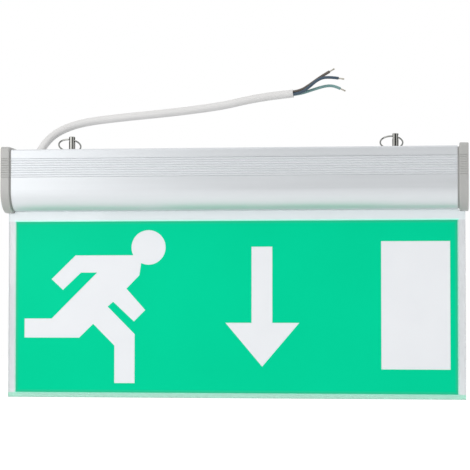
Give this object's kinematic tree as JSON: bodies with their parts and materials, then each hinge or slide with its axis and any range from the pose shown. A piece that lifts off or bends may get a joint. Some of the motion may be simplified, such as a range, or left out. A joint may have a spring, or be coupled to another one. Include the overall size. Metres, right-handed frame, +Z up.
{
  "type": "emergency exit light",
  "caption": "Hanging emergency exit sign: aluminium box with an edge-lit clear panel, green running-figure legend, hanging rings and a supply cord.",
  "frame": {"origin": "centre of the housing's top face, between the hanging studs", "axes": "+X along the sign to the right as its front is read, +Y from its front to its back, +Z up"},
  "size_m": [0.3548, 0.0443, 0.2529],
  "materials": {
    "anodised_aluminium": "satin anodised",
    "cap_plastic": "fine moulded",
    "clear_acrylic": "clear, polished edges",
    "green_film": "printed translucent film",
    "white_film": "white film",
    "plated_steel": "zinc plated",
    "bright_nickel": "bright nickel plated",
    "circuit_board": "lacquered board",
    "led_yellow": "phosphor",
    "terminal_plastic": "moulded",
    "ferrite": "sintered",
    "coil_tape": "taped",
    "capacitor_film": "dipped",
    "capacitor_can": "sleeved can",
    "fuse_glass": "clear",
    "clip_brass": "stamped",
    "black_plastic": "moulded",
    "white_plastic": "moulded",
    "lead_red": "insulation",
    "battery_sleeve": "shrink sleeve",
    "button_plastic": "moulded",
    "lens_green": "tinted clear",
    "lens_red": "tinted clear",
    "cord_white": "soft satin sheath",
    "core_brown": "insulation",
    "core_blue": "insulation",
    "core_green": "insulation",
    "tinned_copper": "tinned strands",
    "grommet_rubber": "moulded"
  },
  "bodies": {
    "housing": {"battery_lead": "lead_red", "battery_pack": "battery_sleeve", "battery_straps": "plated_steel", "battery_tray": "white_plastic", "cap_screws_left": "plated_steel", "cap_screws_right": "plated_steel", "charge_lens": "lens_green", "control_board_screws": "plated_steel", "control_chips": "black_plastic", "control_circuit_board": "circuit_board", "cord_grommet": "grommet_rubber", "core_blue": "core_blue", "core_brown": "core_brown", "core_green": "core_green", "core_tips": "tinned_copper", "diffuser_film": "white_film", "driver_board": "circuit_board", "end_cap_left": "cap_plastic", "end_cap_right": "cap_plastic", "fault_lens": "lens_red", "fuse": "fuse_glass", "fuse_clips": "clip_brass", "hanging_stud_left": "bright_nickel", "hanging_stud_right": "bright_nickel", "heat_plate": "anodised_aluminium", "housing_extrusion": "anodised_aluminium", "led_lead": "white_plastic", "led_packages": "led_yellow", "led_strip": "circuit_board", "legend_film": "green_film", "light_guide_panel": "clear_acrylic", "mains_capacitor": "capacitor_film", "output_capacitors": "capacitor_can", "panel_carrier": "anodised_aluminium", "panel_pins": "plated_steel", "plug_sockets": "white_plastic", "power_transistor": "black_plastic", "reflector_film": "white_film", "signal_leds": "led_yellow", "stud_nuts": "plated_steel", "stud_washers": "plated_steel", "supply_cord": "cord_white", "supply_lead_blue": "core_blue", "supply_lead_brown": "core_brown", "supply_lead_green": "core_green", "terminal_block": "terminal_plastic", "terminal_screws": "plated_steel", "test_switch": "black_plastic", "transformer_coil": "coil_tape", "transformer_core": "ferrite"},
    "ring_left": {"hanging_ring_left": "bright_nickel"},
    "ring_right": {"hanging_ring_right": "bright_nickel"},
    "button": {"test_button": "button_plastic", "switch_plunger": "black_plastic"}
  },
  "joints": [
    {"name": "left_ring_swing", "type": "hinge", "parent": "housing", "child": "ring_left", "pos_m": [-0.126, 0, 0.00845], "axis": [1, 0, 0], "range_deg": [0, 237.8]},
    {"name": "right_ring_swing", "type": "hinge", "parent": "housing", "child": "ring_right", "pos_m": [0.1228, 0, 0.00845], "axis": [1, 0, 0], "range_deg": [0, 237.8]},
    {"name": "test_button_press", "type": "slide", "parent": "housing", "child": "button", "axis": [-1, 0, 0], "range_m": [0, 0.0008], "stiffness_N_per_m": 1200}
  ]
}
